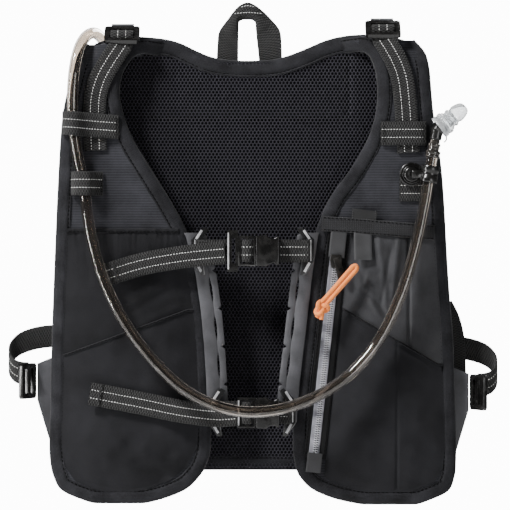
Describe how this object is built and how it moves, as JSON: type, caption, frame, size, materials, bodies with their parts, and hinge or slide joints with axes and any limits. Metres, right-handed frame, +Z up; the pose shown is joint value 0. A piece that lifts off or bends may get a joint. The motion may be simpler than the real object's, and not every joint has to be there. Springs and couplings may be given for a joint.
{
  "type": "hydration pack",
  "caption": "Vest-style hydration pack with front harness pockets, clip-in chest straps, side compression straps and a hose with a swivelling bite valve, hanging from its loop.",
  "frame": {"origin": "inside top of the hang loop, on the loop's middle plane, where a hook holds the pack", "axes": "+Z up along the wearer's back, +X towards the right as the harness side is seen, +Y towards the rear shell, so the harness faces -Y"},
  "size_m": [0.4206, 0.1372, 0.4398],
  "materials": {
    "fabric": "matte ripstop nylon, near black",
    "stretch": "matte stretch woven, charcoal",
    "mesh": "open 3-D air mesh, black",
    "webbing": "ribbed polyester webbing, charcoal, with reflective dashes",
    "hypalon": "matte synthetic rubber sheet, mid grey",
    "acetal": "satin moulded acetal, black",
    "hose": "smoky clear thermoplastic hose, glossy",
    "smoke": "smoky clear moulding, glossy",
    "silicone": "clear silicone, soft gloss",
    "zip": "reflective silver reverse-coil zip on black tape",
    "slider": "black enamelled zinc, satin",
    "cord": "braided polyester cord, orange",
    "bladder": "translucent blue polyurethane film",
    "cap": "moulded plastic, dark grey"
  },
  "bodies": {
    "vest": {"left_front_panel": "fabric", "right_front_panel": "fabric", "left_lower_pocket": "fabric", "right_lower_pocket": "fabric", "rear_shell": "fabric", "left_upper_pocket": "stretch", "right_upper_pocket": "stretch", "rear_stash_pocket": "stretch", "back_panel": "mesh", "left_load_lifter": "webbing", "right_load_lifter": "webbing", "left_upper_keeper": "webbing", "left_lower_keeper": "webbing", "right_upper_keeper": "webbing", "right_lower_keeper": "webbing", "upper_left_webbing": "webbing", "upper_right_webbing": "webbing", "lower_left_webbing": "webbing", "lower_right_webbing": "webbing", "left_side_strap": "webbing", "right_side_strap": "webbing", "hang_loop": "webbing", "left_hook_rail": "hypalon", "right_hook_rail": "hypalon", "left_side_wing": "hypalon", "right_side_wing": "hypalon", "left_lock_anchor": "hypalon", "right_lock_anchor": "hypalon", "hose_port": "hypalon", "upper_left_hook": "acetal", "upper_right_hook": "acetal", "lower_left_hook": "acetal", "lower_right_hook": "acetal", "upper_buckle_female": "acetal", "lower_buckle_female": "acetal", "hose_clip": "acetal", "quick_connect": "acetal", "hose": "hose", "valve_barrel": "smoke", "front_zip_tape": "zip", "rear_zip_tape": "zip", "reservoir": "bladder"},
    "upper_buckle": {"upper_buckle_male": "acetal", "upper_strap_tail": "webbing"},
    "lower_buckle": {"lower_buckle_male": "acetal", "lower_strap_tail": "webbing"},
    "front_zip_slider": {"front_zip_slider": "slider"},
    "front_zip_pull": {"front_zip_puller": "slider", "front_zip_cord": "cord"},
    "rear_zip_slider": {"rear_zip_slider": "slider"},
    "rear_zip_pull": {"rear_zip_pull": "cord"},
    "left_shoulder_lock": {"left_shoulder_lock": "acetal"},
    "right_shoulder_lock": {"right_shoulder_lock": "acetal"},
    "left_side_lock": {"left_side_lock": "acetal"},
    "right_side_lock": {"right_side_lock": "acetal"},
    "bite_valve": {"bite_valve_elbow": "acetal", "bite_piece": "silicone"},
    "shutoff_lever": {"shutoff_lever": "acetal"},
    "reservoir_cap": {"reservoir_cap": "cap"},
    "quick_connect_button": {"quick_connect_button": "hypalon"}
  },
  "joints": [
    {"name": "upper_buckle_release", "type": "slide", "parent": "vest", "child": "upper_buckle", "axis": [-1, 0, 0], "range_m": [0, 0.016], "deforming": ["upper_left_webbing"]},
    {"name": "lower_buckle_release", "type": "slide", "parent": "vest", "child": "lower_buckle", "axis": [-1, 0, 0], "range_m": [0, 0.016], "deforming": ["lower_left_webbing"]},
    {"name": "front_zip_slide", "type": "slide", "parent": "vest", "child": "front_zip_slider", "axis": [-0.1073, 0, -0.9942], "range_m": [0, 0.16]},
    {"name": "front_zip_pull_swing", "type": "hinge", "parent": "front_zip_slider", "child": "front_zip_pull", "pos_m": [0.0736, -0.0389, -0.2105], "axis": [0, 1, 0], "range_deg": [-50, 12]},
    {"name": "rear_zip_slide", "type": "slide", "parent": "vest", "child": "rear_zip_slider", "axis": [-1, 0, 0], "range_m": [0, 0.16]},
    {"name": "rear_zip_pull_swing", "type": "hinge", "parent": "rear_zip_slider", "child": "rear_zip_pull", "pos_m": [0.082, 0.068, -0.15], "axis": [0, 1, 0], "range_deg": [-60, 60]},
    {"name": "left_shoulder_lock_lift", "type": "hinge", "parent": "vest", "child": "left_shoulder_lock", "pos_m": [-0.1155, -0.0119, -0.0055], "axis": [-1, 0, 0], "range_deg": [0, 30]},
    {"name": "right_shoulder_lock_lift", "type": "hinge", "parent": "vest", "child": "right_shoulder_lock", "pos_m": [0.1145, -0.0119, -0.0005], "axis": [-1, 0, 0], "range_deg": [0, 30]},
    {"name": "left_side_lock_lift", "type": "hinge", "parent": "vest", "child": "left_side_lock", "pos_m": [-0.1925, -0.0208, -0.317], "axis": [0, 0, 1], "range_deg": [0, 25]},
    {"name": "right_side_lock_lift", "type": "hinge", "parent": "vest", "child": "right_side_lock", "pos_m": [0.1925, -0.0208, -0.327], "axis": [0, 0, -1], "range_deg": [0, 25]},
    {"name": "bite_valve_swivel", "type": "hinge", "parent": "vest", "child": "bite_valve", "pos_m": [0.15935, -0.0401, -0.1057], "axis": [0.172, 0.02, 0.9849], "range_deg": [-100, 10]},
    {"name": "shutoff_lever_turn", "type": "hinge", "parent": "bite_valve", "child": "shutoff_lever", "pos_m": [0.15935, -0.0401, -0.1057], "axis": [0.172, 0.02, 0.9849], "range_deg": [-60, 0]},
    {"name": "reservoir_cap_turn", "type": "hinge", "parent": "vest", "child": "reservoir_cap", "pos_m": [0, 0.0366, -0.135], "axis": [0, 1, 0], "range_deg": [0, 90]},
    {"name": "quick_connect_press", "type": "slide", "parent": "vest", "child": "quick_connect_button", "axis": [0, -1, 0], "range_m": [0, 0.0015], "stiffness_N_per_m": 150}
  ]
}
